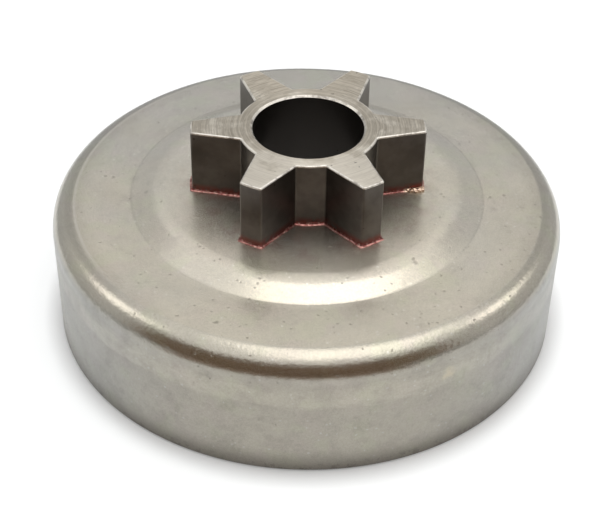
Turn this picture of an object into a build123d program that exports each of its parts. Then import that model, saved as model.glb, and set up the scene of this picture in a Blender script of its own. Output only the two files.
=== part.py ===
"""Chainsaw clutch drum: a deep-drawn steel cup with a spur sprocket brazed to its raised centre.

The axis of the drum is Z. The open rim stands on Z = 0 and the sprocket points up.
One tooth of the sprocket points along +X.
"""

import os
from math import asin, cos, hypot, pi, sin

from build123d import *

# Driving dimensions in millimetres

# Drawn cup
DRUM_DIAMETER = 65.5  # over the outside of the wall
DRUM_HEIGHT = 17.25  # from the rim to the flat ring of the top
WALL = 2.5  # sheet thickness of the wall, the top and the step
SHOULDER_RADIUS = 3.5  # outside bend between the wall and the top
STEP_FOOT_DIAMETER = 45.4  # where the flat ring turns up into the step, on a sharp line
STEP_RUN = 3.7  # how far the step reaches inwards as it rises
STEP_HEIGHT = 1.3  # how far the centre stands above the flat ring
STEP_BROW_BEND = 3.5  # outside bend at the brow of the step
RIM_BREAK = 0.3  # chamfer on both edges of the rim

# Spur sprocket
TOOTH_COUNT = 6
TIP_DIAMETER = 29.5  # over the tips of the teeth
ROOT_DIAMETER = 17.8  # floor of the gaps between the teeth
TIP_LAND = 2.9  # width of a tooth at its tip
GAP_FLOOR = 3.6  # width of a gap at its floor
ROOT_FILLET = 0.45  # between a flank and the floor of a gap
TOOTH_LENGTH = 8.6  # along the axis
FACE_BREAK = 0.18  # chamfer round the outer face
BORE_DIAMETER = 14.0  # runs on the needle cage of the crankshaft
BORE_BREAK = 0.25  # chamfer at both ends of the bore
SPIGOT_DIAMETER = 16.8  # neck that locates the sprocket in the cup

# Copper braze
BRAZE_FILM = 0.1  # filler between the sprocket and the cup, on the seat and in the hole
BRAZE_LEG = 0.5  # width and height of the bead round the sprocket
BRAZE_LIP = 0.1  # width of the bead at its upper edge

# Places that follow from the sizes above
DRUM_RADIUS = DRUM_DIAMETER / 2
STEP_FOOT_RADIUS = STEP_FOOT_DIAMETER / 2
STEP_BROW_RADIUS = STEP_FOOT_RADIUS - STEP_RUN
CENTRE_TOP = DRUM_HEIGHT + STEP_HEIGHT
CENTRE_UNDERSIDE = CENTRE_TOP - WALL
SPIGOT_RADIUS = SPIGOT_DIAMETER / 2
HOLE_RADIUS = SPIGOT_RADIUS + BRAZE_FILM
SPROCKET_SEAT = CENTRE_TOP + BRAZE_FILM
SPROCKET_FACE = SPROCKET_SEAT + TOOTH_LENGTH
BEAD_TOP = SPROCKET_SEAT + BRAZE_LEG
TIP_RADIUS = TIP_DIAMETER / 2
ROOT_RADIUS = ROOT_DIAMETER / 2
BORE_RADIUS = BORE_DIAMETER / 2


def turned(section):
    """A section of (radius, height) in the XY plane, stood up and turned about the axis of the drum."""
    return revolve(Plane.XZ * section, Axis.Z)


def outlined(*points):
    """A flat section inside straight lines."""
    return make_face(Polyline(*points, close=True))


def rounded_at(section, corner, radius):
    """A section with the corner nearest to a point rounded."""
    return fillet(section.vertices().sort_by_distance(corner)[0], radius)


def tooth_outline(grow=0.0):
    """One tapered tooth along +X, from the axis to past the tip circle, with its flanks moved out by grow."""
    tip_reach = (TIP_RADIUS**2 - (TIP_LAND / 2) ** 2) ** 0.5
    root_angle = pi / TOOTH_COUNT - asin(GAP_FLOOR / 2 / ROOT_RADIUS)
    taper = (ROOT_RADIUS * sin(root_angle) - TIP_LAND / 2) / (tip_reach - ROOT_RADIUS * cos(root_angle))
    reach = TIP_RADIUS + grow
    half_at_axis = TIP_LAND / 2 + taper * tip_reach + grow * hypot(1, taper)
    half_at_reach = half_at_axis - taper * reach
    return outlined((0, half_at_axis), (reach, half_at_reach), (reach, -half_at_reach), (0, -half_at_axis))


def toothed(bottom, top, bottom_grow=0.0, top_grow=0.0):
    """The toothed shape with sharp corners, between two heights and grown outwards at each of them."""
    lower = Pos(0, 0, bottom) * tooth_outline(bottom_grow)
    upper = Pos(0, 0, top) * tooth_outline(top_grow)
    teeth = PolarLocations(0, TOOTH_COUNT) * loft([lower, upper], ruled=True)
    core = outlined((0, bottom), (ROOT_RADIUS + bottom_grow, bottom), (ROOT_RADIUS + top_grow, top), (0, top))
    tips = outlined((0, bottom), (TIP_RADIUS + bottom_grow, bottom), (TIP_RADIUS + top_grow, top), (0, top))
    return (turned(core) + teeth) & turned(tips)


def sprocket_blank(top):
    """The sprocket's core and teeth from its seat up, with rounded roots, before the bore."""
    blank = toothed(SPROCKET_SEAT, top)
    corners = blank.edges().filter_by(Axis.Z)
    roots = corners.group_by(lambda edge: round(hypot(edge.center().X, edge.center().Y), 3))[0]
    return fillet(roots, ROOT_FILLET)


def spigot():
    """The neck below the sprocket, solid, down to the inside of the cup."""
    return turned(
        outlined(
            (0, CENTRE_UNDERSIDE),
            (SPIGOT_RADIUS, CENTRE_UNDERSIDE),
            (SPIGOT_RADIUS, SPROCKET_SEAT),
            (0, SPROCKET_SEAT),
        )
    )


def drum_cup():
    """The cup: one drawn sheet, square inside, with a step up to its centre and a hole for the spigot."""
    outside = Polyline(
        (DRUM_RADIUS, 0),
        (DRUM_RADIUS, DRUM_HEIGHT),
        (STEP_FOOT_RADIUS, DRUM_HEIGHT),
        (STEP_BROW_RADIUS, CENTRE_TOP),
        (HOLE_RADIUS, CENTRE_TOP),
    )
    sheet = make_face(offset(outside, WALL, kind=Kind.INTERSECTION, side=Side.LEFT))
    sheet = rounded_at(sheet, (DRUM_RADIUS, DRUM_HEIGHT), SHOULDER_RADIUS)
    sheet = rounded_at(sheet, (STEP_BROW_RADIUS, CENTRE_TOP), STEP_BROW_BEND)
    cup = turned(sheet)
    return chamfer(cup.faces().sort_by(Axis.Z)[0].edges(), RIM_BREAK)


def spur_sprocket():
    """The sprocket: a toothed blank with a spigot below it and one bore through both."""
    blank = sprocket_blank(SPROCKET_FACE)
    blank = chamfer(blank.faces().sort_by(Axis.Z)[-1].edges(), FACE_BREAK)
    bore = outlined(
        (0, CENTRE_UNDERSIDE),
        (BORE_RADIUS + BORE_BREAK, CENTRE_UNDERSIDE),
        (BORE_RADIUS, CENTRE_UNDERSIDE + BORE_BREAK),
        (BORE_RADIUS, SPROCKET_FACE - BORE_BREAK),
        (BORE_RADIUS + BORE_BREAK, SPROCKET_FACE),
        (0, SPROCKET_FACE),
    )
    return blank + spigot() - turned(bore)


def copper_braze():
    """The braze: one run of copper from the bead, under the sprocket and down the hole to the inside."""
    film = toothed(CENTRE_TOP, SPROCKET_SEAT, BRAZE_LEG, BRAZE_LEG)
    bead = toothed(SPROCKET_SEAT, BEAD_TOP, BRAZE_LEG, BRAZE_LIP) - sprocket_blank(BEAD_TOP)
    sleeve = outlined(
        (0, CENTRE_UNDERSIDE),
        (HOLE_RADIUS, CENTRE_UNDERSIDE),
        (HOLE_RADIUS, CENTRE_TOP),
        (0, CENTRE_TOP),
    )
    return film + bead + turned(sleeve) - spigot()


os.makedirs("parts", exist_ok=True)
export_step(drum_cup(), "parts/drum_cup.step")
export_step(spur_sprocket(), "parts/spur_sprocket.step")
export_step(copper_braze(), "parts/copper_braze.step")
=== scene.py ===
"""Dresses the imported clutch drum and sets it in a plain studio.

Every length is in metres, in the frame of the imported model: the axis of the drum is Z, the open rim stands
on Z = 0 and one tooth of the sprocket points along +X. The finishes lay out their patterns in millimetres.
"""

import logging
import math
from dataclasses import dataclass
from enum import Enum
from functools import cached_property, partial, reduce
from typing import Callable, Optional, Protocol, Union

import bmesh
import bpy
from mathutils import Matrix, Vector, noise


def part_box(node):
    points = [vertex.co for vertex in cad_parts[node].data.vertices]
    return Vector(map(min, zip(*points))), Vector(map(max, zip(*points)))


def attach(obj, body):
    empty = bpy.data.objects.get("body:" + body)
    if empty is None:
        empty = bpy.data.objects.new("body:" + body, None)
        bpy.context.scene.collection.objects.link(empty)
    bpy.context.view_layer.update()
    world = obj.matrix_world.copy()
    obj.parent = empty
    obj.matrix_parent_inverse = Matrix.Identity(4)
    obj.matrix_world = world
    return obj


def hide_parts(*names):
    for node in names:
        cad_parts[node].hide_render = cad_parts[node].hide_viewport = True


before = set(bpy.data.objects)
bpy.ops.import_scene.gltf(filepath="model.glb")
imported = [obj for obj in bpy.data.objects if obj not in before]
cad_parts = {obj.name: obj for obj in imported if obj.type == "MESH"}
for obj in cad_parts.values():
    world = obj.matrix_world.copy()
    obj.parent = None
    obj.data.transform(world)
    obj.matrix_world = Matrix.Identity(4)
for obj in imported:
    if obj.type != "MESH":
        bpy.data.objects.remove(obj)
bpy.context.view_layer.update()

MM = 0.001
WELD = 0.001 * MM
AXIS = (0.0, 0.0, 1.0)
ON_AXIS = (0.0, 0.0, 0.0)
LEVEL = (1.0, 1.0, 0.0)
TO_MILLIMETRES = (1000.0, 1000.0, 1000.0)
WHITE = (1.0, 1.0, 1.0, 1.0)
LOG = logging.getLogger("clutch_drum")

Shape = bmesh.types.BMesh
Edges = list[bmesh.types.BMEdge]
Object = bpy.types.Object
Material = bpy.types.Material
Socket = bpy.types.NodeSocket
Plug = Union[Socket, float, tuple]
Colour = tuple[float, float, float]
Place = tuple[float, float, float]
Fade = tuple[float, float]
Noise = tuple[float, float, float]


class CadNode(Enum):
    """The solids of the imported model."""

    CUP = "drum_cup"
    SPROCKET = "spur_sprocket"
    BRAZE = "copper_braze"


class Slot(Enum):
    """The record's material slots."""

    DRUM_STEEL = "drum_steel"
    SPROCKET_STEEL = "sprocket_steel"
    COPPER = "copper"


class ShaderBench:
    """Lays out shader nodes in one tree and joins their sockets."""

    def __init__(self, tree: bpy.types.NodeTree) -> None:
        """Starts on an emptied tree.

        Args:
            tree: the node tree of a material or a world.
        """
        tree.nodes.clear()
        self.tree = tree

    @cached_property
    def place(self) -> Socket:
        """Object coordinates in millimetres."""
        place = self.node("ShaderNodeTexCoord").outputs["Object"]
        return self.node("ShaderNodeMapping", {"Vector": place, "Scale": TO_MILLIMETRES}).outputs[0]

    @cached_property
    def axes(self) -> list[Socket]:
        """The three numbers of the place."""
        return self.node("ShaderNodeSeparateXYZ", {0: self.place}).outputs[:]

    @cached_property
    def radius(self) -> Socket:
        """How far the place lies from the axis of the drum."""
        level = self.vector("MULTIPLY", self.place, LEVEL)
        return self.node("ShaderNodeVectorMath", {0: level}, operation="LENGTH").outputs["Value"]

    @cached_property
    def outwards(self) -> Socket:
        """The level direction from the axis of the drum to the place."""
        return self.vector("NORMALIZE", self.vector("MULTIPLY", self.place, LEVEL))

    def node(self, kind: str, plugs: Optional[dict] = None, **settings: object) -> bpy.types.Node:
        """Adds a node.

        Args:
            kind: the node's type name.
            plugs: for each input, by name or number, a socket to join or a value to set.
            settings: the node's own options.

        Returns:
            The new node.
        """
        made = self.tree.nodes.new(kind)
        for option, choice in settings.items():
            setattr(made, option, choice)
        for key, plug in (plugs or {}).items():
            if isinstance(plug, Socket):
                self.tree.links.new(plug, made.inputs[key])
            else:
                made.inputs[key].default_value = plug
        return made

    def reckon(self, operation: str, first: Plug, second: Plug = 0.0) -> Socket:
        """Works on one or two numbers, by the name of the arithmetic."""
        return self.node("ShaderNodeMath", {0: first, 1: second}, operation=operation).outputs[0]

    def times(self, *factors: Plug) -> Socket:
        """Multiplies numbers."""
        return reduce(partial(self.reckon, "MULTIPLY"), factors)

    def scaled(self, value: Plug, factor: float, start: float) -> Socket:
        """Multiplies a number and adds a start to it."""
        return self.reckon("ADD", self.times(value, factor), start)

    def vector(self, operation: str, first: Plug, second: Plug = ON_AXIS) -> Socket:
        """Works on one or two vectors, by the name of the arithmetic."""
        return self.node("ShaderNodeVectorMath", {0: first, 1: second}, operation=operation).outputs[0]

    def apart(self, place: Plug, spot: Place) -> Socket:
        """How far a place lies from a spot."""
        return self.node("ShaderNodeVectorMath", {0: place, 1: spot}, operation="DISTANCE").outputs["Value"]

    def ramp(self, value: Plug, start: float, end: float) -> Socket:
        """Rises smoothly from 0 to 1 between two values, in either order.

        Args:
            value: the number that is looked up.
            start: where the result is 0.
            end: where the result is 1.

        Returns:
            The result's socket.
        """
        plugs = {"Value": value, "From Min": start, "From Max": end}
        if start > end:
            plugs.update({"From Min": end, "From Max": start, "To Min": 1.0, "To Max": 0.0})
        return self.node("ShaderNodeMapRange", plugs, interpolation_type="SMOOTHSTEP").outputs[0]

    def between(self, share: Plug, first: Plug, second: Plug) -> Socket:
        """Mixes two numbers, with the share of the second."""
        return self.node("ShaderNodeMix", {0: share, 2: first, 3: second}, data_type="FLOAT").outputs[0]

    def lay(self, under: Plug, over: Plug, share: Plug, mode: str = "MIX") -> Socket:
        """Lays one colour on another.

        Args:
            under: the colour underneath.
            over: the colour on top.
            share: how much of the second colour comes in, from 0 to 1.
            mode: how the second colour lies on the first.

        Returns:
            The mixed colour's socket.
        """
        made = self.node("ShaderNodeMix", data_type="RGBA", blend_type=mode)
        for key, plug in ((0, share), (6, under), (7, over)):
            if isinstance(plug, Socket):
                self.tree.links.new(plug, made.inputs[key])
            else:
                made.inputs[key].default_value = plug if key == 0 else (*plug, 1.0)
        return made.outputs[2]

    def cloud(self, scale: float, detail: float = 2.0, rough: float = 0.5,
              place: Optional[Plug] = None) -> Socket:
        """Soft random levels over a place, from 0 to 1."""
        plugs = {"Vector": self.place if place is None else place, "Scale": scale, "Detail": detail,
                 "Roughness": rough}
        return self.node("ShaderNodeTexNoise", plugs).outputs[0]

    def warped(self, bends: float, sway: float) -> Socket:
        """Bends the place to and fro, so that what is read there gets uneven outlines.

        Args:
            bends: how many bends there are to a millimetre.
            sway: how far it is bent, in millimetres.

        Returns:
            The bent place's socket.
        """
        if not sway:
            return self.place
        swirl = self.node("ShaderNodeTexNoise", {"Vector": self.place, "Scale": bends})
        middle = self.vector("SUBTRACT", swirl.outputs["Color"], (0.5, 0.5, 0.5))
        return self.vector("ADD", self.place, self.vector("MULTIPLY", middle, (sway, sway, sway)))

    def bump(self, height: Plug, depth: float, under: Optional[Plug] = None) -> Socket:
        """Raises the surface by a height pattern.

        Args:
            height: the pattern, from 0 to 1.
            depth: what 1 stands for, in metres.
            under: the normal of the relief that lies underneath.

        Returns:
            The new normal's socket.
        """
        plugs = {"Height": height, "Distance": depth, "Strength": 1.0}
        if under is not None:
            plugs["Normal"] = under
        return self.node("ShaderNodeBump", plugs).outputs[0]

    def metal(self, colour: Plug, roughness: Plug, normal: Plug) -> bpy.types.Node:
        """Ends the tree in bare metal.

        Args:
            colour: the metal's colour.
            roughness: how matt it is, from 0 to 1.
            normal: the relief of its surface.

        Returns:
            The shader node.
        """
        plugs = {"Base Color": colour, "Metallic": 1.0, "Roughness": roughness, "Normal": normal}
        shader = self.node("ShaderNodeBsdfPrincipled", plugs)
        self.finish(shader.outputs[0])
        return shader

    def finish(self, surface: Socket) -> None:
        """Ends a material's tree in a surface."""
        self.node("ShaderNodeOutputMaterial", {"Surface": surface})


class By(Enum):
    """What a zone is measured by."""

    X = 0
    Y = 1
    Z = 2
    RADIUS = 3


class Mask(Protocol):
    """Something that says how strongly a look shows at each place."""

    def mask(self, bench: ShaderBench) -> Socket:
        """Gives a socket from 0 to 1."""


@dataclass(frozen=True)
class Blotches:
    """Soft random blotches: how fine and broken up they are, and the levels between which they fade in."""

    scale: float
    detail: float
    rough: float
    start: float
    full: float
    shift: Place = ON_AXIS

    def mask(self, bench: ShaderBench) -> Socket:
        """Is 1 inside a blotch and 0 elsewhere."""
        level = bench.cloud(self.scale, self.detail, self.rough, bench.vector("ADD", bench.place, self.shift))
        return bench.ramp(level, self.start, self.full)


@dataclass(frozen=True)
class Spots:
    """Scattered spots: cells to a millimetre, a spot's share of its cell, and how many cells carry one."""

    scale: float
    reach: float
    chance: float
    bends: float = 0.0
    sway: float = 0.0
    core: float = 0.45

    def mask(self, bench: ShaderBench) -> Socket:
        """Lays out the spots with soft edges.

        Args:
            bench: the material's nodes.

        Returns:
            A socket that is 1 inside a spot and 0 elsewhere.
        """
        place = bench.warped(self.bends, self.sway)
        cells = bench.node("ShaderNodeTexVoronoi", {"Vector": place, "Scale": self.scale})
        spot = bench.ramp(cells.outputs["Distance"], self.reach, self.reach * self.core)
        lot = bench.node("ShaderNodeSeparateColor", {0: cells.outputs["Color"]}).outputs[0]
        return bench.times(spot, bench.reckon("LESS_THAN", lot, self.chance))


@dataclass(frozen=True)
class Near:
    """Round a spot: the distances at which a look starts and is full, and the bends of its outline."""

    spot: Place
    start: float
    full: float
    bends: float = 0.0
    sway: float = 0.0

    def mask(self, bench: ShaderBench) -> Socket:
        """Is 1 at the spot and 0 away from it."""
        place = bench.warped(self.bends, self.sway)
        return bench.ramp(bench.apart(place, self.spot), self.start, self.full)


@dataclass(frozen=True)
class Zone:
    """A zone in millimetres: where a look starts and is full, and its levels there.

    A middle measures the distance from it on either side, and a drift in millimetres makes the border uneven.
    """

    by: By
    start: float
    full: float
    levels: Fade = (0.0, 1.0)
    middle: Optional[float] = None
    drift: float = 0.0
    swells: Noise = (0.09, 3.0, 0.5)
    stretch: Place = (1.0, 1.0, 1.0)

    def mask(self, bench: ShaderBench) -> Socket:
        """Fades from one border of the zone to the other.

        Args:
            bench: the material's nodes.

        Returns:
            A socket that is the first level where the look starts and the second where it is full.
        """
        value = bench.radius if self.by is By.RADIUS else bench.axes[self.by.value]
        if self.middle is not None:
            value = bench.reckon("ABSOLUTE", bench.reckon("SUBTRACT", value, self.middle))
        if self.drift:
            swell = bench.cloud(*self.swells, bench.vector("MULTIPLY", bench.place, self.stretch))
            value = bench.reckon("ADD", value, bench.scaled(swell, self.drift, -self.drift / 2))
        return bench.between(bench.ramp(value, self.start, self.full), *self.levels)


def all_of(bench: ShaderBench, masks: tuple[Mask, ...]) -> Socket:
    """Shows a look where all of its masks do."""
    return bench.times(*(mask.mask(bench) for mask in masks))


@dataclass(frozen=True)
class Layer:
    """One colour laid on a finish, where all of its masks show it."""

    colour: Colour
    share: float
    masks: tuple[Mask, ...]
    mode: str = "MIX"

    def on(self, bench: ShaderBench, under: Plug) -> Socket:
        """Lays the colour on the one underneath."""
        share = bench.times(all_of(bench, self.masks), self.share)
        return bench.lay(under, self.colour, share, self.mode)


def layered(bench: ShaderBench, colour: Plug, layers: tuple[Layer, ...]) -> Plug:
    """Lays colours on one another in order, from the one underneath up."""
    return reduce(lambda under, layer: layer.on(bench, under), layers, colour)


class Finish(Protocol):
    """A finish that can make its material."""

    def material(self) -> Material:
        """Makes the material."""


def blank_material(name: str) -> tuple[Material, ShaderBench]:
    """Makes an empty node material.

    Args:
        name: the material's name.

    Returns:
        The material and the bench for its nodes.
    """
    made = bpy.data.materials.new(name)
    made.use_nodes = True
    return made, ShaderBench(made.node_tree)


# Dark grime. The same colour is also laid as painted shade at the rim, on the ring's left and right edges, in
# the step's corner and round the sprocket's foot.
GRIME_AND_SHADE = (0.15, 0.135, 0.118)
ON_WALL = Zone(By.Z, 15.85, 14.65)
INSIDE_STEP_FOOT = Zone(By.RADIUS, 22.8, 22.6)


@dataclass(frozen=True)
class DrawnSteel:
    """Deep-drawn sheet steel, tumbled to a warm satin grey and rubbed brighter where it was bent."""

    name: str = "drawn_steel"
    dull: Colour = (0.551, 0.512, 0.432)
    # The steel's colour: light, rosy and sandy clouds, a cooler tint towards the back that is a painted
    # reflection tint, grain, haze, smudges, and pale specks that are painted glints
    clouds: tuple[Layer, ...] = (
        Layer((0.594, 0.551, 0.462), 1.0, (Blotches(0.17, 4.0, 0.6, 0.34, 0.66),)),
        Layer((0.591, 0.533, 0.462), 0.5, (Blotches(0.23, 2.0, 0.5, 0.46, 0.64, (40.0, 0.0, 0.0)),)),
        Layer((0.576, 0.552, 0.441), 0.7, (Blotches(0.25, 2.0, 0.5, 0.52, 0.66, (0.0, 60.0, 0.0)),)),
        # Painted reflection tint: the steel is laid cooler towards the back, for the cooler light it reflects
        # there.
        Layer((0.880, 0.917, 1.004), 1.0, (Zone(By.Y, -26.0, 28.0, drift=62.0),), "MULTIPLY"),
        Layer((1.12, 1.12, 1.12), 1.0, (Blotches(4.0, 2.0, 0.75, 0.30, 0.70),), "MULTIPLY"),
        Layer(GRIME_AND_SHADE, 0.14, (Blotches(0.7, 4.0, 0.7, 0.46, 0.80),)),
        Layer(GRIME_AND_SHADE, 0.10, (Spots(0.3, 0.24, 0.6, 0.8, 1.8),)),
        # Painted glints: pale specks of lighter colour that stand in for sparkle.
        Layer((0.80, 0.78, 0.73), 0.45, (Spots(0.9, 0.17, 0.6, 3.0, 0.3),)))
    # The duller wall, and the ragged band on it that is lighter in patches
    wall_tone: Colour = (0.742, 0.745, 0.758)
    band: tuple[Zone, ...] = tuple(
        Zone(By.Z, *fade, drift=3.2, swells=(1.0, 3.0, 0.6), stretch=(0.22, 0.22, 0.9))
        for fade in ((9.9, 11.1), (14.2, 12.2)))
    band_patches: Noise = (0.12, 3.0, 0.6)
    band_levels: Fade = (0.08, 0.88)
    # A painted cool reflection tint on the front flanks, patches, the bend, painted shade that darkens the
    # rim towards the bottom and most at the front, the rim's crust and one tan spot
    wall_wear_and_painted_light: tuple[Layer, ...] = (
        # Painted reflection tint: the wall's front flanks are laid cooler.
        Layer((0.915, 0.952, 1.020), 1.0,
              (Zone(By.Y, -33.0, -18.0), Zone(By.Y, 4.0, -14.0), ON_WALL), "MULTIPLY"),
        Layer(GRIME_AND_SHADE, 0.16, (Blotches(0.38, 4.0, 0.65, 0.44, 0.70), ON_WALL)),
        Layer((0.865, 0.874, 0.884), 1.0, (Zone(By.RADIUS, 29.86, 30.16),), "MULTIPLY"),
        # Painted shade: the wall darkens towards the rim, most at the front, for the shadowed floor it
        # reflects.
        Layer(GRIME_AND_SHADE, 1.0, (Zone(By.Z, 3.9, -0.5), Zone(By.Y, -29.0, -15.0, (0.70, 0.38)))),
        Layer(GRIME_AND_SHADE, 0.6, (Zone(By.Z, 1.7, 0.3), Blotches(0.8, 4.0, 0.7, 0.52, 0.60))),
        Layer((0.62, 0.55, 0.40), 0.45, (Near((15.54, -28.83, 11.92), 1.3, 0.2, 0.9, 2.4),)))
    # Painted shade on the ring's outer edge at the left and right, a painted highlight along the crease on
    # the left, painted shade in the corner at the step's foot, the lighter centre, painted shade round the
    # sprocket's foot and copper bloom
    top_wear_and_painted_light: tuple[Layer, ...] = (
        # Painted shade: the ring's outer edge darkens at the left and right.
        Layer(GRIME_AND_SHADE, 0.16, (Zone(By.RADIUS, 27.51, 29.91), Zone(By.X, 12.0, 26.0, middle=0.0),
                            Zone(By.Z, 16.65, 17.15))),
        # Painted highlight: a lighter line along the crease, on the left and away from the front.
        Layer((0.62, 0.59, 0.54), 0.45, (Zone(By.RADIUS, 0.24, 0.06, middle=29.81), Zone(By.Z, 15.0, 16.5),
                                         Zone(By.Y, -20.0, -8.0), Zone(By.X, 8.0, -12.0))),
        # Painted shade: a dark line in the corner at the foot of the step.
        Layer(GRIME_AND_SHADE, 0.10, (Zone(By.RADIUS, 0.26, 0.05, middle=22.65), Zone(By.Z, 16.0, 17.0))),
        Layer((1.10, 1.10, 1.10), 1.0, (INSIDE_STEP_FOOT,), "MULTIPLY"),
        # Painted shade: the centre darkens towards the foot of the sprocket.
        Layer(GRIME_AND_SHADE, 0.58, (Zone(By.RADIUS, 15.0, 9.5),)),
        Layer((0.44, 0.32, 0.28), 0.4, (Zone(By.RADIUS, 18.0, 14.0), Blotches(0.42, 3.0, 0.6, 0.46, 0.66))))
    # Pits and nicks
    pit: Colour = (0.075, 0.066, 0.056)
    pits: Spots = Spots(0.40, 0.07, 0.3, 2.4, 0.55)
    pit_strength: float = 0.7
    fine_pits: tuple[Mask, ...] = (Spots(1.0, 0.17, 0.6, 2.4, 0.55), Zone(By.Z, 12.5, 15.5, (0.18, 0.72)))
    nick_strength: float = 0.75
    nick_edge: Fade = (1.5, 0.2)
    mark_share: float = 0.5
    mark_rough: float = 0.2
    # Where the die rubbed the step and the shoulder, and the roughness between and on the surface's peaks
    step: tuple[Zone, ...] = (Zone(By.RADIUS, 19.1, 20.2), INSIDE_STEP_FOOT)
    bend: tuple[Zone, ...] = (Zone(By.RADIUS, 29.81, 30.21), Zone(By.Z, 13.05, 15.05))
    peaks: Blotches = Blotches(40.0, 1.0, 0.5, 0.51, 0.53)
    satin: Fade = (0.52, 0.26)
    polished: Fade = (0.30, 0.18)
    # Grain, lines of drawing, depths in metres, and how much grain shows on the step and everywhere
    grain: Noise = (2.3, 3.0, 0.65)
    draw_lines: Noise = (1.0, 2.0, 0.6)
    draw_around: Place = (90.0, 90.0, 0.0)
    draw_along: Place = (0.0, 0.0, 0.9)
    grain_depth: float = 2.8e-5
    draw_depth: float = 1.8e-5
    mark_depth: float = 3.0e-5
    step_grain: float = 0.25
    least_grain: float = 0.2
    # Single nicks, with the place and the size of each in millimetres
    nicks: tuple[tuple[float, float, float, float], ...] = (
        (-6.60, -19.54, 18.06, 0.20), (-6.96, -20.13, 17.79, 0.16), (-6.30, -18.90, 18.30, 0.14),
        (12.52, -16.00, 18.18, 0.30), (12.25, -15.55, 18.35, 0.22), (15.45, -17.38, 17.25, 0.17),
        (-11.36, -25.52, 17.25, 0.26), (-25.19, 3.42, 17.25, 0.26), (-26.25, 3.66, 17.25, 0.24),
        (23.49, -1.63, 17.25, 0.24), (25.35, -1.21, 17.25, 0.24), (-20.62, -1.07, 18.04, 0.26),
        (15.48, -20.37, 17.25, 0.20), (-13.45, -13.00, 18.55, 0.18), (-12.96, -13.40, 18.55, 0.14),
        (-13.82, -12.60, 18.55, 0.12), (-17.06, 6.49, 18.55, 0.12), (-18.07, 5.57, 18.55, 0.12),
        (2.29, -13.41, 18.55, 0.16), (26.00, -19.92, 15.34, 0.28))

    def colour(self, bench: ShaderBench) -> Plug:
        """The steel's colour with its clouds and wear, and its painted shade, highlight, glints and
        reflection tints.

        Args:
            bench: the material's nodes.

        Returns:
            The colour's socket.
        """
        low, high = self.band_levels
        patchy = bench.scaled(bench.cloud(*self.band_patches), high - low, low)
        in_band = bench.times(all_of(bench, self.band), patchy)
        dulled = bench.reckon("SUBTRACT", ON_WALL.mask(bench), in_band)
        colour = bench.lay(layered(bench, self.dull, self.clouds), self.wall_tone, dulled, "MULTIPLY")
        return layered(bench, colour, self.wall_wear_and_painted_light + self.top_wear_and_painted_light)

    def marks(self, bench: ShaderBench) -> Socket:
        """Fine scattered pits and the single nicks.

        Args:
            bench: the material's nodes.

        Returns:
            A socket that is 1 in a mark and 0 elsewhere.
        """
        fine = all_of(bench, self.fine_pits)
        marks = bench.reckon("MAXIMUM", bench.times(self.pits.mask(bench), self.pit_strength), fine)
        bent = bench.warped(self.pits.bends, self.pits.sway)
        outer, inner = self.nick_edge
        for *spot, size in self.nicks:
            nick = bench.ramp(bench.apart(bent, tuple(spot)), size * outer, size * inner)
            marks = bench.reckon("MAXIMUM", marks, bench.times(nick, self.nick_strength))
        return marks

    def material(self) -> Material:
        """Makes the material.

        Returns:
            The drum's steel.
        """
        made, bench = blank_material(self.name)
        marks = self.marks(bench)
        on_step, on_bend = (all_of(bench, zones) for zones in (self.step, self.bend))
        colour = bench.lay(self.colour(bench), self.pit, bench.times(marks, self.mark_share))
        peaks = self.peaks.mask(bench)
        rough = bench.between(bench.reckon("MAXIMUM", on_step, on_bend), bench.between(peaks, *self.satin),
                              bench.between(peaks, *self.polished))
        rough = bench.reckon("ADD", rough, bench.times(marks, self.mark_rough))
        draw_place = bench.vector("ADD", bench.vector("MULTIPLY", bench.outwards, self.draw_around),
                                  bench.vector("MULTIPLY", bench.place, self.draw_along))
        draw_lines = bench.times(bench.cloud(*self.draw_lines, draw_place), on_bend)
        grained = bench.reckon("ADD", bench.scaled(on_step, self.step_grain, self.least_grain), on_bend)
        normal = bench.bump(bench.times(bench.cloud(*self.grain), grained), self.grain_depth)
        normal = bench.bump(draw_lines, self.draw_depth, normal)
        normal = bench.bump(bench.reckon("SUBTRACT", 1.0, marks), self.mark_depth, normal)
        bench.metal(colour, rough, normal)
        return made


@dataclass(frozen=True)
class HardenedSides:
    """Dark hardened steel on the flanks, the roots, the tips and in the bore."""

    name: str = "hardened_sides"
    dark: Colour = (0.111, 0.100, 0.092)
    # Mottle, painted light that makes the front lighter, copper that crept up from the braze, the bore and
    # pits
    layers: tuple[Layer, ...] = (
        Layer((0.140, 0.126, 0.116), 1.0, (Blotches(0.35, 3.0, 0.6, 0.35, 0.65),)),
        # Painted light: the sides are laid lighter towards the front.
        Layer((1.22, 1.24, 1.27), 1.0, (Zone(By.Y, -6.5, -9.5),), "MULTIPLY"),
        Layer((0.23, 0.050, 0.042), 0.8, (Zone(By.Z, 19.90, 18.85), Blotches(0.8, 3.0, 0.6, 0.30, 0.56))),
        Layer((0.148, 0.134, 0.123), 1.0, (Zone(By.RADIUS, 7.35, 7.15),)),
        Layer((0.06, 0.05, 0.045), 0.8, (Spots(0.55, 0.09, 0.6),)))
    grain: Noise = (3.2, 2.0, 0.6)
    broach: Noise = (1.0, 2.0, 0.6)
    broach_stretch: Place = (3.0, 3.0, 0.12)
    rough: Fade = (0.15, 0.24)
    broach_depth: float = 4.0e-6
    grain_depth: float = 2.0e-6

    def material(self) -> Material:
        """Makes the material.

        Returns:
            The steel of the sprocket's sides.
        """
        made, bench = blank_material(self.name)
        grain = bench.cloud(*self.grain)
        broach = bench.cloud(*self.broach, bench.vector("MULTIPLY", bench.place, self.broach_stretch))
        normal = bench.bump(grain, self.grain_depth, bench.bump(broach, self.broach_depth))
        bench.metal(layered(bench, self.dark, self.layers), bench.scaled(grain, *self.rough), normal)
        return made


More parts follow.
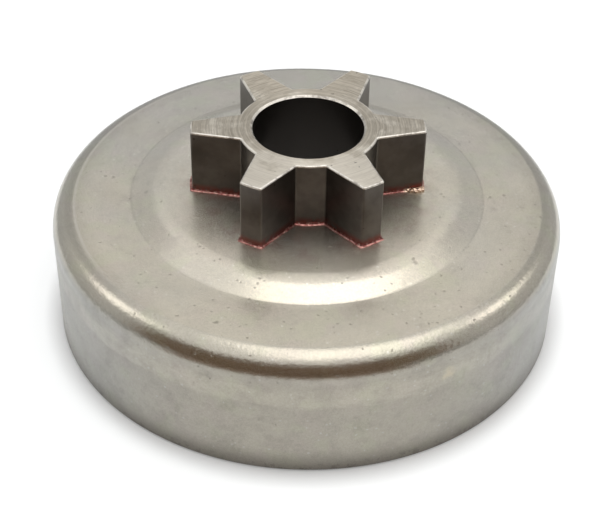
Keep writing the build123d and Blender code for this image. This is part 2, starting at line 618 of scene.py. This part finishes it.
@dataclass(frozen=True)
class TurnedFace:
    """Steel faced on a lathe, with the tool's rings left in it."""

    name: str = "turned_face"
    crest: Colour = (0.760, 0.709, 0.620)
    groove: Colour = (0.515, 0.469, 0.400)
    wear_and_shade: Colour = (0.70, 0.68, 0.65)
    # Painted light: the tops of the front teeth are laid lighter.
    front: Layer = Layer((0.670, 0.622, 0.542), 0.6, (Zone(By.Y, -4.5, -8.0),))
    pits: Layer = Layer((0.10, 0.085, 0.075), 0.8, (Spots(0.6, 0.10, 0.5, 1.8, 0.6),))
    swirl: Fade = (0.25, 0.9)
    rings: Noise = (4.5, 3.0, 0.7)
    wear: Noise = (0.5, 3.0, 0.6)
    grain: Noise = (3.0, 2.0, 0.6)
    rough: Fade = (0.14, 0.35)
    ring_levels: Fade = (0.36, 0.62)
    wear_and_shade_levels: Fade = (0.42, 0.72)
    wear_and_shade_share: float = 0.8
    # Painted light and shade: less wear is laid on the front teeth and more towards the back, which lights
    # the front and darkens the rest. This also changes the roughness.
    painted_light_and_shade: Zone = Zone(By.Y, -12.0, -3.0, (-0.16, 0.14))
    painted_shade_rear: Zone = Zone(By.Y, 5.0, 11.0, (0.0, 0.16))
    streak: float = 0.72
    ring_depth: float = 6.0e-6
    grain_depth: float = 2.0e-6

    def material(self) -> Material:
        """Makes the material, whose gloss spreads across the tool's rings.

        Returns:
            The steel of the sprocket's outer face.
        """
        made, bench = blank_material(self.name)
        scale, reach = self.swirl
        swirl = bench.times(bench.cloud(scale), reach)
        ring_place = bench.node("ShaderNodeCombineXYZ", {0: bench.radius, 1: swirl})
        rings = bench.cloud(*self.rings, ring_place.outputs[0])
        # Real wear plus the painted light and shade of the teeth.
        lean = bench.reckon("ADD", self.painted_light_and_shade.mask(bench), self.painted_shade_rear.mask(bench))
        wear_and_shade = bench.reckon("ADD", bench.cloud(*self.wear), lean)
        colour = bench.lay(self.groove, self.crest, bench.ramp(rings, *self.ring_levels))
        colour = self.front.on(bench, colour)
        dulled = bench.times(bench.ramp(wear_and_shade, *self.wear_and_shade_levels), self.wear_and_shade_share)
        colour = self.pits.on(bench, bench.lay(colour, self.wear_and_shade, dulled, "MULTIPLY"))
        normal = bench.bump(bench.cloud(*self.grain), self.grain_depth, bench.bump(rings, self.ring_depth))
        shader = bench.metal(colour, bench.scaled(wear_and_shade, *self.rough), normal)
        shader.inputs["Anisotropic"].default_value = self.streak
        bench.tree.links.new(bench.outwards, shader.inputs["Tangent"])
        return made


@dataclass(frozen=True)
class BurnishedEdge:
    """Steel rubbed bright along the broken edges of the outer face."""

    name: str = "burnished_edge"
    bright: Colour = (0.80, 0.765, 0.70)
    dull: Colour = (0.42, 0.39, 0.35)
    rubbed: Noise = (0.9, 3.0, 0.6)
    grain: Noise = (2.4, 2.0, 0.6)
    rough: Fade = (0.12, 0.36)
    rubbed_levels: Fade = (0.32, 0.56)
    grain_depth: float = 1.2e-5

    def material(self) -> Material:
        """Makes the material.

        Returns:
            The steel of the edges.
        """
        made, bench = blank_material(self.name)
        rubbed = bench.cloud(*self.rubbed)
        colour = bench.lay(self.dull, self.bright, bench.ramp(rubbed, *self.rubbed_levels))
        normal = bench.bump(bench.cloud(*self.grain), self.grain_depth)
        bench.metal(colour, bench.scaled(rubbed, *self.rough), normal)
        return made


@dataclass(frozen=True)
class BrazeCopper:
    """Copper that melted in the furnace and set with a crystalline skin."""

    name: str = "braze_copper"
    dark: Colour = (0.21, 0.070, 0.064)
    # The paler toe, bright crystals and the spatter beside one tooth
    layers: tuple[Layer, ...] = (
        Layer((0.50, 0.25, 0.22), 1.0, (Zone(By.Z, 18.70, 18.61), Blotches(1.5, 3.0, 0.7, 0.40, 0.62))),
        Layer((0.74, 0.50, 0.42), 0.6, (Blotches(2.6, 3.0, 0.7, 0.47, 0.70),)),
        Layer((0.70, 0.52, 0.40), 1.0, (Near((13.75, -2.0, 18.7), 1.7, 1.2),)))
    lumps: Noise = (2.2, 3.0, 0.6)
    patches: Noise = (0.9, 3.0, 0.6)
    rough: Fade = (0.25, 0.22)
    crystals: float = 5.0
    crystal_depth: float = 2.5e-5
    lump_depth: float = 4.0e-5

    def material(self) -> Material:
        """Makes the material.

        Returns:
            The copper of the braze.
        """
        made, bench = blank_material(self.name)
        crystals = bench.node("ShaderNodeTexVoronoi", {"Vector": bench.place, "Scale": self.crystals})
        normal = bench.bump(crystals.outputs["Distance"], self.crystal_depth)
        normal = bench.bump(bench.cloud(*self.lumps), self.lump_depth, normal)
        rough = bench.scaled(bench.cloud(*self.patches), *self.rough)
        bench.metal(layered(bench, self.dark, self.layers), rough, normal)
        return made


def points_of(geometry: list) -> list[bmesh.types.BMVert]:
    """The vertices among the elements that an operator returned."""
    return [item for item in geometry if isinstance(item, bmesh.types.BMVert)]


def turned(shape: Shape, geometry: list, angle: float, steps: int, **options: bool) -> list:
    """Spins elements about the axis of the drum and gives their last copy."""
    made = bmesh.ops.spin(shape, geom=geometry, cent=ON_AXIS, axis=AXIS, angle=angle, steps=steps, **options)
    return made["geom_last"]


def spun(points: list[tuple[float, float]], steps: int) -> Shape:
    """Turns a closed section about the axis of the drum.

    Args:
        points: the section's corners as (radius, height), in order.
        steps: how many facets go round.

    Returns:
        The turned shape, with its faces outwards.
    """
    shape = bmesh.new()
    corners = [shape.verts.new((radius, 0.0, height)) for radius, height in points]
    for pair in zip(corners, corners[1:] + corners[:1]):
        shape.edges.new(pair)
    turned(shape, shape.verts[:] + shape.edges[:], math.tau, steps, use_merge=True)
    bmesh.ops.remove_doubles(shape, verts=shape.verts[:], dist=WELD)
    bmesh.ops.recalc_face_normals(shape, faces=shape.faces[:])
    return shape


def reach_of(point: bmesh.types.BMVert) -> float:
    """How far a vertex lies from the axis of the drum."""
    return math.hypot(point.co.x, point.co.y)


def ring_at(shape: Shape, radius: float, height: float, near: float = 0.02 * MM) -> Edges:
    """The edges of one turned corner.

    Args:
        shape: a turned shape.
        radius: the corner's distance from the axis.
        height: the corner's height.
        near: how far an edge may lie from it.

    Returns:
        The ring of edges there.
    """
    return [edge for edge in shape.edges
            if all(abs(reach_of(v) - radius) < near and abs(v.co.z - height) < near for v in edge.verts)]


def round_edges(shape: Shape, edges: Edges, setback: float, steps: int) -> None:
    """Rounds edges.

    Args:
        shape: the shape that is changed.
        edges: the edges to round.
        setback: how far the round starts from the edge.
        steps: the number of facets across the round.
    """
    bmesh.ops.bevel(shape, geom=edges, offset=setback, offset_type="OFFSET", segments=steps, profile=0.5,
                    affect="EDGES", material=-1)


def placed(shape: Shape, name: str, finish: Finish) -> Object:
    """Puts a shape into the scene.

    Args:
        shape: the shape, used up here.
        name: its name.
        finish: what it is dressed in.

    Returns:
        The object, at the origin.
    """
    mesh = bpy.data.meshes.new(name)
    shape.to_mesh(mesh)
    shape.free()
    mesh.materials.append(finish.material())
    made = bpy.data.objects.new(name, mesh)
    bpy.context.scene.collection.objects.link(made)
    return made


def set_piece(piece: Object, stands_for: CadNode, crease: float = 38.0) -> Object:
    """Makes an object a piece of the part in place of a solid.

    Args:
        piece: the object.
        stands_for: the solid that it replaces.
        crease: the angle in degrees past which an edge stays sharp.

    Returns:
        The piece.
    """
    piece.data.shade_smooth()
    piece.data.set_sharp_from_angle(angle=math.radians(crease))
    even = piece.modifiers.new("even_faces", "WEIGHTED_NORMAL")
    even.keep_sharp = True
    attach(piece, "root")
    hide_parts(stands_for.value)
    return piece


@dataclass
class DrawnCup:
    """The deep-drawn cup with its shoulder, flat ring and raised centre."""

    radius: float
    height: float
    wall: float = 2.5 * MM
    shoulder: float = 3.3 * MM
    shoulder_fit: float = 0.95
    shoulder_lean: float = 8.0
    crease_bend: float = 0.08 * MM
    inner_bend: float = 1.0 * MM
    step_foot: float = 22.7 * MM
    step_run: float = 3.35 * MM
    step_height: float = 1.3 * MM
    foot_bend: float = 0.5 * MM
    brow_bend: float = 6.0 * MM
    hole: float = 8.5 * MM
    rim_break: float = 0.3 * MM
    facets: int = 288
    long_edge: float = 2.0 * MM
    cuts: int = 7
    ripple: float = 0.02 * MM
    ripples: float = 95.0

    @classmethod
    def from_frame(cls) -> "DrawnCup":
        """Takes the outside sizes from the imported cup."""
        _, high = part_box(CadNode.CUP.value)
        return cls(radius=high[0], height=high[2] - cls.step_height)

    @property
    def slant(self) -> float:
        """The tangent of half the angle at which the step rises."""
        return math.tan(math.atan2(self.step_height, self.step_run) / 2)

    def section(self) -> dict[str, tuple[float, float]]:
        """The sheet's corners before any bend is rounded.

        Returns:
            Each corner's distance from the axis and height, by name, in order round the sheet.
        """
        drop = math.radians(self.shoulder_lean)
        crease = self.radius - self.shoulder * (1 - math.sin(drop))
        corner = self.height - (self.radius - crease) * math.tan(drop)
        shift = self.wall * self.slant
        brow, centre = self.step_foot - self.step_run, self.height + self.step_height
        inside, under = self.radius - self.wall, self.height - self.wall
        return {"rim": (self.radius, 0.0), "shoulder": (self.radius, corner), "crease": (crease, self.height),
                "foot": (self.step_foot, self.height), "brow": (brow, centre), "hole": (self.hole, centre),
                "hole_end": (self.hole, centre - self.wall), "hollow": (brow - shift, centre - self.wall),
                "under_foot": (self.step_foot - shift, under), "inside": (inside, under),
                "inner_rim": (inside, 0.0)}

    def shape(self) -> Shape:
        """Turns the section, rounds its bends and leaves the faint ripple of drawing in the sheet.

        Returns:
            The cup's shape.
        """
        corners = self.section()
        cup = spun(list(corners.values()), self.facets)
        half_fold = math.radians(90.0 - self.shoulder_lean) / 2
        bends = {"rim": (self.rim_break, 2),
                 "shoulder": (self.shoulder_fit * self.shoulder * math.tan(half_fold), 14),
                 "crease": (self.crease_bend, 2), "foot": (self.foot_bend * self.slant, 2),
                 "brow": (self.brow_bend * self.slant, 8), "hollow": (self.inner_bend * self.slant, 3),
                 "under_foot": (self.brow_bend * self.slant, 5), "inside": (self.inner_bend, 6),
                 "inner_rim": (self.rim_break, 2)}
        for corner, (setback, steps) in bends.items():
            round_edges(cup, ring_at(cup, *corners[corner]), setback, steps)
        across = [edge for edge in cup.edges if edge.calc_length() > self.long_edge]
        bmesh.ops.subdivide_edges(cup, edges=across, cuts=self.cuts)
        bmesh.ops.recalc_face_normals(cup, faces=cup.faces[:])
        for point in cup.verts:
            sway = noise.noise(point.co * self.ripples)
            point.co -= point.normal * (self.ripple * abs(sway) * min(1.0, point.co.z / self.wall))
        return cup

    def build(self) -> Object:
        """Builds the cup and dresses it."""
        return set_piece(placed(self.shape(), "drawn_cup", DrawnSteel()), CadNode.CUP)


@dataclass
class SpurSprocket:
    """The toothed sprocket with its neck and bore."""

    face_height: float
    neck_foot: float
    teeth: int = 6
    tip: float = 14.75 * MM
    root: float = 8.9 * MM
    land: float = 2.9 * MM
    gap_floor: float = 3.6 * MM
    length: float = 8.6 * MM
    root_round: float = 0.45 * MM
    root_half_fold: float = 24.0
    tip_round: float = 0.22 * MM
    least_fold: float = 0.4
    face_break: float = 0.22 * MM
    bore: float = 7.0 * MM
    bore_break: float = 0.25 * MM
    neck: float = 8.4 * MM
    facets: int = 144
    face_slope: float = 0.97
    break_slope: float = 0.2

    @classmethod
    def from_frame(cls) -> "SpurSprocket":
        """Takes the outer face and the neck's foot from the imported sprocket."""
        low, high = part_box(CadNode.SPROCKET.value)
        return cls(face_height=high[2], neck_foot=low[2])

    @property
    def seat(self) -> float:
        """The height of the teeth's lower ends."""
        return self.face_height - self.length

    def flank_angle(self, radius: float) -> float:
        """Where a flank crosses a circle.

        Args:
            radius: the circle's radius.

        Returns:
            The crossing's angle from the middle of the tooth.
        """
        half = self.land / 2
        root_angle = math.pi / self.teeth - math.asin(self.gap_floor / 2 / self.root)
        reach = math.sqrt(self.tip**2 - half**2)
        taper = (self.root * math.sin(root_angle) - half) / (reach - self.root * math.cos(root_angle))
        lean = math.atan(taper)
        return math.asin((half + taper * reach) * math.cos(lean) / radius) - lean

    def outline(self, shape: Shape, height: float) -> Edges:
        """Draws the toothed outline in an empty shape.

        Args:
            shape: the shape that takes the outline.
            height: the outline's height.

        Returns:
            The closed loop of edges.
        """
        pitch = math.tau / self.teeth
        tip_angle, root_angle = self.flank_angle(self.tip), self.flank_angle(self.root)

        def point(radius: float, angle: float) -> bmesh.types.BMVert:
            """Adds a point of the outline."""
            return shape.verts.new((radius * math.cos(angle), radius * math.sin(angle), height))

        land_end = points_of(turned(shape, [point(self.tip, -tip_angle)], 2 * tip_angle, 4))[0]
        floor_start = point(self.root, root_angle)
        floor_end = points_of(turned(shape, [floor_start], pitch - 2 * root_angle, 8))[0]
        shape.edges.new((land_end, floor_start))
        shape.edges.new((floor_end, point(self.tip, pitch - tip_angle)))
        turned(shape, shape.verts[:] + shape.edges[:], math.tau - pitch, self.teeth - 1, use_duplicate=True)
        bmesh.ops.remove_doubles(shape, verts=shape.verts[:], dist=WELD)
        return shape.edges[:]

    def blank(self) -> Shape:
        """Draws the teeth up to the outer face and breaks their edges.

        Returns:
            The teeth's sides, open at both ends.
        """
        blank = bmesh.new()
        foot = bmesh.ops.edgeloop_fill(blank, edges=self.outline(blank, self.seat))["faces"]
        drawn = bmesh.ops.extrude_face_region(blank, geom=foot)["geom"]
        bmesh.ops.translate(blank, verts=points_of(drawn), vec=(0.0, 0.0, self.length))
        bmesh.ops.recalc_face_normals(blank, faces=blank.faces[:])

        def upright(test: Callable[[float], bool]) -> Edges:
            """The standing edges whose fold passes a test."""
            standing = [e for e in blank.edges if abs(e.verts[0].co.z - e.verts[1].co.z) > self.length / 2]
            return [e for e in standing if test(e.calc_face_angle_signed())]

        setback = self.root_round * math.tan(math.radians(self.root_half_fold))
        round_edges(blank, upright(lambda fold: fold < -self.least_fold), setback, 4)
        round_edges(blank, upright(lambda fold: fold > self.least_fold), self.tip_round, 4)
        top = [e for e in blank.edges if min(v.co.z for v in e.verts) > self.face_height - 10 * WELD]
        round_edges(blank, top, self.face_break, 3)
        ends = [face for face in blank.faces if len(face.verts) > 4 * self.teeth]
        bmesh.ops.delete(blank, geom=ends, context="FACES_ONLY")
        return blank

    def line(self, body: Shape) -> None:
        """Adds the bore with its edge breaks, the foot of the neck and the neck's outside.

        Args:
            body: the teeth's sides, which take the rest.
        """
        low, high = self.neck_foot, self.face_height
        flare = self.bore + self.bore_break
        section = [(flare, high), (self.bore, high - self.bore_break), (self.bore, low + self.bore_break),
                   (flare, low), (self.neck, low), (self.neck, self.seat)]
        chain = [body.verts.new((radius, 0.0, height)) for radius, height in section]
        links = [body.edges.new(pair) for pair in zip(chain, chain[1:])]
        turned(body, chain + links, math.tau, self.facets, use_merge=True)

    def close_ends(self, body: Shape) -> None:
        """Fills the outer face and the seat between the teeth's outline and the round inside it.

        Args:
            body: the sprocket's sides and bore.
        """
        for height in (self.face_height, self.seat):
            rims = [edge for edge in body.edges
                    if edge.is_boundary and all(abs(v.co.z - height) < WELD for v in edge.verts)]
            bmesh.ops.triangle_fill(body, use_beauty=True, use_dissolve=False, edges=rims, normal=AXIS)
        bmesh.ops.recalc_face_normals(body, faces=body.faces[:])

    def build(self) -> Object:
        """Builds the sprocket and dresses its sides, its turned outer face and its broken edges.

        Returns:
            The piece.
        """
        body = self.blank()
        self.line(body)
        self.close_ends(body)
        for face in body.faces:
            up = face.normal.z
            face.material_index = 1 if up > self.face_slope else 2 if up > self.break_slope else 0
        piece = placed(body, "spur_sprocket_steel", HardenedSides())
        set_piece(piece, CadNode.SPROCKET)
        for finish in (TurnedFace(), BurnishedEdge()):
            piece.data.materials.append(finish.material())
        return piece


@dataclass
class CopperBraze:
    """The copper round the foot of the teeth and in the cup's hole."""

    sprocket: SpurSprocket
    cup: DrawnCup
    leg: float = 0.27 * MM
    film: float = 0.1 * MM
    # The bead's section as (rise, reach), in legs
    section: tuple[tuple[float, float], ...] = (
        (0.0, 1.0), (0.10, 0.90), (0.24, 0.52), (0.5, 0.22), (0.95, 0.07), (1.1, 0.0), (1.1, -0.3),
        (0.0, -0.3), (0.0, 1.0))
    unevenness: float = 0.30
    swells: float = 700.0
    ripples: float = 2100.0
    ripple_share: float = 0.6
    flank: float = 2.0 * MM
    flank_cuts: int = 22
    # Drops of copper as (along, out, size), in millimetres from their place
    lump_place: Place = (13.75 * MM, -1.95 * MM, 18.68 * MM)
    lumps: tuple[Place, ...] = (
        (-0.95, -0.02, 0.24), (-0.55, 0.12, 0.30), (-0.1, 0.02, 0.40), (0.05, 0.35, 0.24), (0.45, 0.05, 0.36),
        (0.85, -0.02, 0.26))
    lump_stretch: Place = (1.25, 0.9, 0.75)
    lump_unevenness: float = 0.35
    lump_ripples: float = 3500.0

    def bead(self) -> Shape:
        """Runs a hollow fillet round the teeth.

        Returns:
            The bead as a closed ring.
        """
        floor = self.sprocket.seat - self.film
        bead = bmesh.new()
        flanks = [edge for edge in self.sprocket.outline(bead, floor) if edge.calc_length() > self.flank]
        bmesh.ops.subdivide_edges(bead, edges=flanks, cuts=self.flank_cuts)
        rim = bead.edges[:]
        for _ in self.section[1:]:
            made = bmesh.ops.extrude_edge_only(bead, edges=rim)["geom"]
            fresh = points_of(made)
            bmesh.ops.translate(bead, verts=fresh, vec=(0.0, 0.0, self.leg))
            rim = [item for item in made
                   if isinstance(item, bmesh.types.BMEdge) and set(item.verts) <= set(fresh)]
        bead.normal_update()
        outward = {point: point.normal * point.calc_shell_factor() for point in bead.verts}
        side = math.copysign(self.leg, sum(way.dot(point.co) for point, way in outward.items()))
        for point, way in outward.items():
            rise, grow = self.section[round((point.co.z - floor) / self.leg)]
            swell, ripple = (noise.noise(point.co * scale) for scale in (self.swells, self.ripples))
            uneven = 1.0 + self.unevenness * (swell + self.ripple_share * ripple)
            point.co += way * (side * grow * uneven)
            point.co.z = floor + rise * self.leg * uneven
        bmesh.ops.remove_doubles(bead, verts=bead.verts[:], dist=WELD)
        bmesh.ops.recalc_face_normals(bead, faces=bead.faces[:])
        return bead

    def add_lumps(self, bead: Shape) -> None:
        """Sets the drops that stand in the corner beside one tooth.

        Args:
            bead: the bead that takes them.
        """
        for along, out, size in self.lumps:
            drop = bmesh.ops.create_icosphere(bead, subdivisions=3, radius=size * MM)["verts"]
            bmesh.ops.scale(bead, verts=drop, vec=self.lump_stretch)
            middle = Vector(self.lump_place) + Vector((along * MM, -out * MM, 0.0))
            bmesh.ops.translate(bead, verts=drop, vec=middle)
            for point in drop:
                sway = noise.noise(point.co * self.lump_ripples)
                point.co += (point.co - middle) * self.lump_unevenness * sway

    def sleeve(self) -> Shape:
        """The film in the cup's hole, as a closed ring."""
        low, high = self.sprocket.neck_foot, self.sprocket.seat - self.film / 2
        return spun([(self.sprocket.neck, low), (self.cup.hole, low), (self.cup.hole, high),
                     (self.sprocket.neck, high)], self.cup.facets // 2)

    def build(self) -> Object:
        """Builds the braze and dresses it.

        Returns:
            The piece.
        """
        bead = self.bead()
        self.add_lumps(bead)
        sleeve = bpy.data.meshes.new("sleeve")
        film = self.sleeve()
        film.to_mesh(sleeve)
        film.free()
        bead.from_mesh(sleeve)
        bpy.data.meshes.remove(sleeve)
        return set_piece(placed(bead, "copper_bead", BrazeCopper()), CadNode.BRAZE, crease=60.0)


def seen_directly(bench: ShaderBench) -> Socket:
    """A socket that is 1 for rays from the camera, and for those that shiny or clear surfaces send on.

    Args:
        bench: the nodes of a material or a world.

    Returns:
        The socket.
    """
    path = bench.node("ShaderNodeLightPath")
    shiny = bench.reckon("MAXIMUM", path.outputs["Is Camera Ray"], path.outputs["Is Glossy Ray"])
    return bench.reckon("MAXIMUM", shiny, path.outputs["Is Transmission Ray"])


@dataclass(frozen=True)
class WhiteFloor:
    """A matt white floor that shows white and keeps the object's shadow."""

    name: str = "white_floor"
    light: Colour = (0.95, 0.95, 0.95)
    dark: Colour = (0.90, 0.90, 0.90)
    mottle: float = 0.05
    speckle: float = 0.02
    glow: float = 0.12
    glow_fade: Fade = (120.0, 420.0)

    def material(self) -> Material:
        """Makes the material, which is clear from below.

        Returns:
            The floor's white.
        """
        made, bench = blank_material(self.name)
        white = bench.lay(self.light, self.dark, bench.times(bench.cloud(self.mottle), self.speckle))
        matt = bench.node("ShaderNodeBsdfDiffuse", {"Color": white}).outputs[0]
        bright = bench.node("ShaderNodeEmission", {"Color": WHITE, "Strength": 1.0}).outputs[0]
        far = bench.ramp(bench.radius, *self.glow_fade)
        share = bench.times(seen_directly(bench), bench.between(far, self.glow, 1.0))
        shown = bench.node("ShaderNodeMixShader", {0: share, 1: matt, 2: bright}).outputs[0]
        below = bench.node("ShaderNodeNewGeometry").outputs["Backfacing"]
        clear = bench.node("ShaderNodeBsdfTransparent").outputs[0]
        bench.finish(bench.node("ShaderNodeMixShader", {0: below, 1: shown, 2: clear}).outputs[0])
        return made


@dataclass(frozen=True)
class Backdrop:
    """Cloth or paper with a faint mottle, either matt or lit evenly from behind."""

    name: str
    light: Colour
    dark: Colour
    scale: float
    shader: str

    def material(self) -> Material:
        """Makes the material.

        Returns:
            The cloth or the paper.
        """
        made, bench = blank_material(self.name)
        colour = bench.lay(self.dark, self.light, bench.cloud(self.scale))
        bench.finish(bench.node(self.shader, {"Color": colour}).outputs[0])
        made.cycles.emission_sampling = "NONE"
        return made


DARK_CLOTH = Backdrop("dark_cloth", (0.30, 0.205, 0.140), (0.21, 0.143, 0.098), 0.2, "ShaderNodeBsdfDiffuse")
GREY_APRON = Backdrop("grey_apron", (0.46, 0.46, 0.455), (0.44, 0.44, 0.435), 0.02, "ShaderNodeEmission")
GREY_WALL = Backdrop("grey_wall", (0.62, 0.62, 0.615), (0.60, 0.60, 0.595), 0.02, "ShaderNodeEmission")


@dataclass(frozen=True)
class Screen:
    """A sheet bent round the axis that only reflections show.

    Its two edges are given as (reach, height), and its start and turn in degrees from the front.
    """

    name: str
    near: tuple[float, float]
    far: tuple[float, float]
    start: float
    turn: float
    finish: Finish
    facets: int = 64

    def build(self) -> Object:
        """Puts the screen up.

        Returns:
            The screen.
        """
        shape = bmesh.new()
        ends = [shape.verts.new((0.0, -reach, height)) for reach, height in (self.near, self.far)]
        edge = shape.edges.new(ends)
        begin = Matrix.Rotation(math.radians(self.start), 3, "Z")
        bmesh.ops.rotate(shape, verts=ends, cent=ON_AXIS, matrix=begin)
        turned(shape, [*ends, edge], math.radians(self.turn), self.facets)
        made = placed(shape, self.name, self.finish)
        made.visible_camera = False
        made.visible_shadow = False
        made.visible_diffuse = False
        return made


@dataclass(frozen=True)
class Softbox:
    """A soft light, with its width and depth in metres and its power in watts."""

    name: str
    place: Place
    size: tuple[float, float]
    power: float
    tint: Colour = (1.0, 0.97, 0.92)
    faces_drum: bool = True
    mirrored: bool = True

    def build(self) -> Object:
        """Hangs the light, which faces the foot of the drum or straight down.

        Returns:
            The light.
        """
        light = bpy.data.lights.new(self.name, "AREA")
        light.shape = "RECTANGLE"
        light.size, light.size_y = self.size
        light.energy = self.power
        light.color = self.tint
        made = bpy.data.objects.new(self.name, light)
        if self.faces_drum:
            made.rotation_euler = (-Vector(self.place)).to_track_quat("-Z", "Y").to_euler()
        made.location = self.place
        made.visible_camera = False
        made.visible_glossy = self.mirrored
        bpy.context.scene.collection.objects.link(made)
        return made


@dataclass
class Studio:
    """The floor, the lights, the dark side behind the camera, the grey paper and the white all round."""

    floor_half: float = 3.0
    floor_drop: float = 0.05 * MM
    room_light: float = 0.44
    screens: tuple[Screen, ...] = (
        Screen("studio_cloth", (0.60, 0.0), (0.60, 0.52), -72.0, 128.0, DARK_CLOTH),
        Screen("studio_mat", (0.076, 0.1 * MM), (0.60, 0.1 * MM), -50.0, 84.0, DARK_CLOTH),
        Screen("studio_apron", (0.105, 0.1 * MM), (0.95, 0.1 * MM), 34.0, 276.0, GREY_APRON),
        Screen("studio_wall", (0.95, 0.0), (0.95, 0.76), 0.0, 360.0, GREY_WALL),
        Screen("studio_wall_right", (0.95, 0.0), (0.95, 1.05), 150.0, -85.0, GREY_WALL),
        Screen("studio_wall_left", (0.95, 0.0), (0.95, 1.05), 210.0, 85.0, GREY_WALL))
    lamps: tuple[Softbox, ...] = (
        Softbox("overhead_softbox", (0.050, -0.055, 0.30), (0.225, 0.25), 0.192, faces_drum=False),
        Softbox("right_softbox", (0.333, 0.054, 0.297), (0.14, 0.14), 0.12),
        Softbox("left_softbox", (-0.333, 0.054, 0.297), (0.14, 0.14), 0.12),
        Softbox("floor_softbox", (0.0, 0.022, 0.55), (0.12, 0.12), 1.7, (0.955, 0.985, 1.0), mirrored=False))

    def floor(self) -> Object:
        """Lays the floor.

        Returns:
            The floor.
        """
        shape = bmesh.new()
        bmesh.ops.create_grid(shape, x_segments=1, y_segments=1, size=self.floor_half)
        bmesh.ops.translate(shape, verts=shape.verts[:], vec=(0.0, 0.0, -self.floor_drop))
        made = placed(shape, "studio_floor", WhiteFloor())
        return made

    def surroundings(self) -> None:
        """Makes the white all round, which shows at full white and lights the object more gently."""
        world = bpy.data.worlds.new("white_room")
        world.use_nodes = True
        bench = ShaderBench(world.node_tree)
        level = bench.reckon("MAXIMUM", seen_directly(bench), self.room_light)
        white = bench.node("ShaderNodeBackground", {"Color": WHITE, "Strength": level})
        bench.node("ShaderNodeOutputWorld", {"Surface": white.outputs[0]})
        bpy.context.scene.world = world

    def build(self) -> list[Object]:
        """Sets up the whole studio."""
        self.surroundings()
        return [self.floor(), *(part.build() for part in self.screens + self.lamps)]


@dataclass
class PhotoCamera:
    """The camera at the photograph's viewing angle."""

    place: Place = (-7.00692 * MM, -149.34513 * MM, 125.15786 * MM)
    aim: Place = (-1.61978 * MM, -14.83561 * MM, 17.25 * MM)
    roll: float = 0.91758
    lens: float = 86.225
    sensor: float = 36.0
    nearest: float = 0.01

    def build(self) -> Object:
        """Makes the camera the scene's own.

        Returns:
            The camera.
        """
        data = bpy.data.cameras.new("photo_camera")
        data.lens = self.lens
        data.sensor_width = self.sensor
        data.sensor_fit = "HORIZONTAL"
        data.clip_start = self.nearest
        made = bpy.data.objects.new("photo_camera", data)
        look = Vector(self.aim) - Vector(self.place)
        turn = look.to_track_quat("-Z", "Y").to_matrix() @ Matrix.Rotation(math.radians(self.roll), 3, "Z")
        made.matrix_world = Matrix.Translation(self.place) @ turn.to_4x4()
        bpy.context.scene.collection.objects.link(made)
        bpy.context.scene.camera = made
        return made


def main() -> None:
    """Builds the pieces, the studio and the camera in order."""
    logging.basicConfig(level=logging.INFO, format="%(name)s: %(message)s")
    bpy.context.scene.view_settings.view_transform = "Standard"
    cup = DrawnCup.from_frame()
    sprocket = SpurSprocket.from_frame()
    braze = CopperBraze(sprocket, cup)
    for maker in (cup, sprocket, braze):
        piece = maker.build()
        LOG.info("%s has %d faces", piece.name, len(piece.data.polygons))
    for part in Studio().build():
        LOG.info("%s is up", part.name)
    LOG.info("%s is set", PhotoCamera().build().name)


if __name__ == "__main__":
    main()
